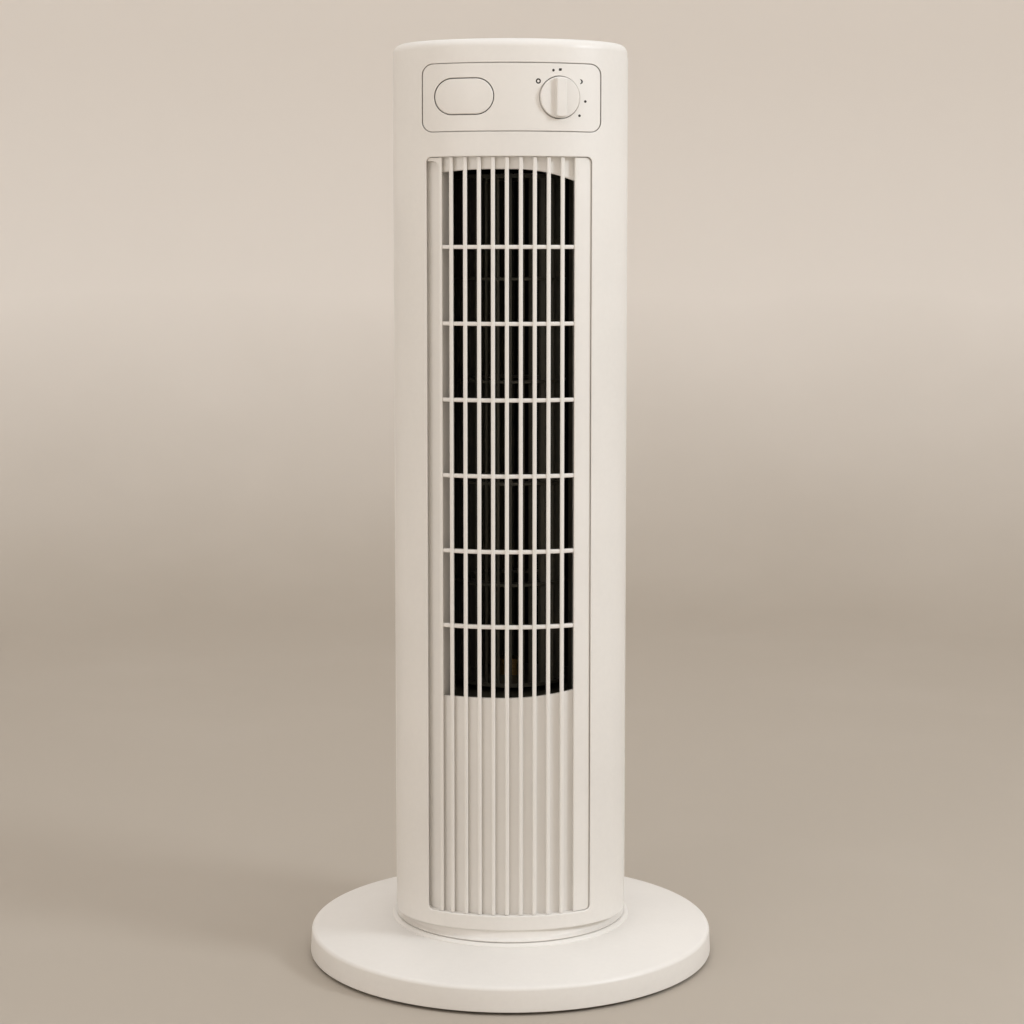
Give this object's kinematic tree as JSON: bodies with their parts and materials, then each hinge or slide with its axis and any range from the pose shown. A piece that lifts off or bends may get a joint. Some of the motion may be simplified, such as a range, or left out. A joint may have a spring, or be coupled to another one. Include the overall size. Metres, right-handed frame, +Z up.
{
  "type": "tower fan",
  "caption": "Oscillating tower fan: slim ivory column with a finned front outlet, knob and push button on top, cross-flow wheel inside, on a round base.",
  "frame": {"origin": "on the floor, under the middle of the round base", "axes": "+Z up, -Y out of the front grille, +X to the right as seen from the front with the knob on that side"},
  "size_m": [0.336, 0.336, 0.75],
  "materials": {
    "ivory_shell": "moulded ABS, warm ivory, fine satin texture",
    "ivory_grille": "moulded ABS, warm ivory, smooth satin",
    "ivory_controls": "moulded ABS, warm ivory, smooth satin",
    "dark_plastic": "black moulded polypropylene",
    "grey_plastic": "grey moulded plastic",
    "white_nylon": "natural low-friction nylon",
    "mark_ink": "brown-black pad print",
    "black_rubber": "moulded rubber",
    "zinc_steel": "zinc-plated steel",
    "cast_weight": "grey cast iron",
    "bright_can": "drawn and plated can",
    "laminations": "varnished steel laminations",
    "copper_wire": "enamelled copper wire",
    "sintered_bronze": "oil-filled sintered bronze",
    "filter_foam": "open-cell foam sheet",
    "cable_sheath": "sleeved leads"
  },
  "bodies": {
    "base": {"base_cover": "ivory_shell", "base_plate": "grey_plastic", "base_weight": "cast_weight", "rubber_feet": "black_rubber", "base_screws": "zinc_steel", "cord_inlet": "black_rubber", "collar_ring": "ivory_shell", "pivot_post": "zinc_steel", "thrust_washer": "white_nylon", "sweep_yoke": "zinc_steel", "retaining_ring": "zinc_steel", "post_screws": "zinc_steel"},
    "column": {"turntable": "ivory_shell", "column_floor": "ivory_shell", "front_shell": "ivory_shell", "rear_shell": "ivory_shell", "top_cap": "ivory_shell", "shell_screws": "zinc_steel", "grip_cup": "ivory_shell", "intake_filter": "filter_foam", "front_grille": "ivory_grille", "control_panel": "ivory_controls", "dial_marks": "mark_ink", "switch_bracket": "zinc_steel", "rotary_switch": "dark_plastic", "push_switch": "dark_plastic", "button_spring": "zinc_steel", "duct_floor": "dark_plastic", "duct_ceiling": "dark_plastic", "scroll_wall": "dark_plastic", "vortex_tongue": "dark_plastic", "bearing_holder": "black_rubber", "bearing_bush": "sintered_bronze", "motor_bracket": "zinc_steel", "motor_mounts": "black_rubber", "motor_can": "bright_can", "motor_stator": "laminations", "motor_windings": "copper_wire", "motor_screws": "zinc_steel", "capacitor": "dark_plastic", "terminal_block": "ivory_controls", "wire_harness": "cable_sheath", "sweep_motor": "bright_can", "sweep_screws": "zinc_steel"},
    "air_wheel": {"cross_flow_wheel": "dark_plastic", "wheel_hub": "sintered_bronze", "motor_rotor": "zinc_steel"},
    "sweep_crank": {"crank_arm": "zinc_steel", "crank_roller": "sintered_bronze"},
    "knob": {"speed_knob": "ivory_controls", "switch_spindle": "zinc_steel"},
    "button": {"push_button": "ivory_controls"}
  },
  "joints": [
    {"name": "oscillation", "type": "hinge", "parent": "base", "child": "column", "pos_m": [0, 0, 0.04], "axis": [0, 0, 1], "range_deg": [-32.5, 32.5]},
    {"name": "wheel_spin", "type": "hinge", "parent": "column", "child": "air_wheel", "pos_m": [0, 0.01, 0.4], "axis": [0, 0, 1], "continuous": true},
    {"name": "crank_spin", "type": "hinge", "parent": "column", "child": "sweep_crank", "pos_m": [0, 0.05, 0.04], "axis": [0, 0, 1], "continuous": true},
    {"name": "knob_turn", "type": "hinge", "parent": "column", "child": "knob", "pos_m": [0.0384, -0.08607, 0.7044], "axis": [0.308, -0.9514, 0], "range_deg": [-130, 57]},
    {"name": "button_press", "type": "slide", "parent": "column", "child": "button", "axis": [0, 1, 0], "range_m": [0, 0.0025], "stiffness_N_per_m": 400, "springref_m": -0.001, "deforming": ["button_spring"]}
  ]
}
